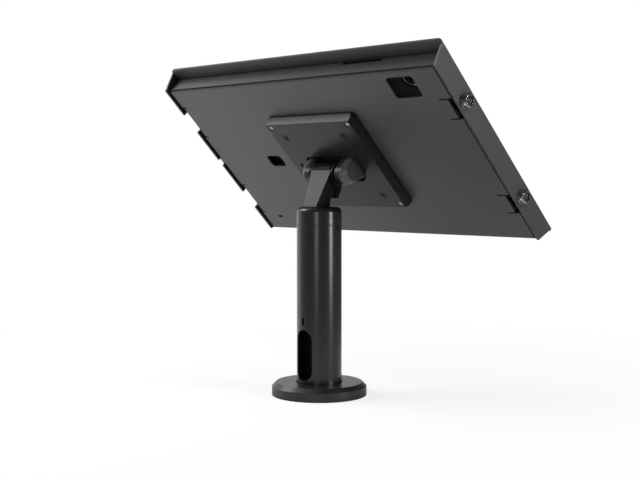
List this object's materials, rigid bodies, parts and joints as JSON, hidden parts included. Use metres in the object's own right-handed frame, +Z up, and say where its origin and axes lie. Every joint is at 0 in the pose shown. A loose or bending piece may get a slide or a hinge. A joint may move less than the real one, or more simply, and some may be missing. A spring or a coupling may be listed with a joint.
{
  "type": "tablet security enclosure",
  "caption": "Lockable sheet metal tablet enclosure with a hinged front cover, on a tilting and swivelling head with a square plate, a short pole and a round base",
  "frame": {"origin": "Middle of the base's underside, on the pole axis, where the base stands on the counter", "axes": "X is across the enclosure and along the tilt axis, right as seen by whoever faces the screen. Y points to the back of the enclosure. Z is up along the pole."},
  "size_m": [0.3569, 0.1638, 0.3103],
  "materials": {
    "black_powder_coat": "satin powder coat",
    "grey_powder_coat": "fine satin powder coat",
    "black_casting": "satin paint on a casting",
    "black_plastic": "fine grained moulding",
    "black_nylon": "plain moulding",
    "black_rubber": "matt",
    "black_foam": "closed cell foam, matt",
    "zinc_steel": "zinc plate",
    "bright_steel": "bright",
    "blackened_steel": "black oxide",
    "chrome_plate": "polished"
  },
  "bodies": {
    "base": {"base_disc": "black_powder_coat", "base_pad": "black_rubber", "foot_screws": "zinc_steel", "pole_tube": "black_powder_coat", "swivel_bush": "black_nylon"},
    "swivel_neck": {"head_collar": "black_powder_coat", "swivel_washer": "zinc_steel", "swivel_nut": "zinc_steel", "neck_bolt": "zinc_steel", "neck_arm": "black_casting", "neck_back_cover": "black_casting", "neck_fairing": "black_nylon", "friction_discs": "black_nylon", "spring_washers": "blackened_steel"},
    "tilt_head": {"tilt_bracket": "black_casting", "left_ear_cap": "black_plastic", "right_ear_cap": "black_plastic", "tilt_axle": "zinc_steel", "axle_nut": "zinc_steel", "bracket_screws": "zinc_steel", "mounting_plate": "black_powder_coat", "plate_cover": "black_plastic", "corner_screws": "bright_steel", "cover_screws": "blackened_steel", "press_nuts": "zinc_steel", "rear_tray": "grey_powder_coat", "foam_liner": "black_foam", "camera_ring": "zinc_steel"},
    "cover": {"front_cover": "grey_powder_coat", "window_gasket": "black_foam", "upper_lock_body": "chrome_plate", "upper_lock_nut": "chrome_plate", "lower_lock_body": "chrome_plate", "lower_lock_nut": "chrome_plate"},
    "upper_lock": {"upper_lock_plug": "chrome_plate", "upper_lock_cam": "chrome_plate"},
    "lower_lock": {"lower_lock_plug": "chrome_plate", "lower_lock_cam": "chrome_plate"}
  },
  "joints": [
    {"name": "head_swivel", "type": "hinge", "parent": "base", "child": "swivel_neck", "pos_m": [0, 0, 0.158], "axis": [0, 0, 1], "range_deg": [-170, 170]},
    {"name": "head_tilt", "type": "hinge", "parent": "swivel_neck", "child": "tilt_head", "pos_m": [0, -0.0128, 0.2042], "axis": [1, 0, 0], "range_deg": [-45, 45]},
    {"name": "cover_swing", "type": "hinge", "parent": "tilt_head", "child": "cover", "pos_m": [0.1752, -0.0273, 0.2187], "axis": [0, 0.7071, 0.7071], "range_deg": [0, 75]},
    {"name": "upper_lock_turn", "type": "hinge", "parent": "cover", "child": "upper_lock", "pos_m": [-0.1757, 0.007, 0.26218], "axis": [-1, 0, 0], "range_deg": [0, 90]},
    {"name": "lower_lock_turn", "type": "hinge", "parent": "cover", "child": "lower_lock", "pos_m": [-0.1757, -0.07078, 0.1844], "axis": [-1, 0, 0], "range_deg": [0, 90]}
  ]
}
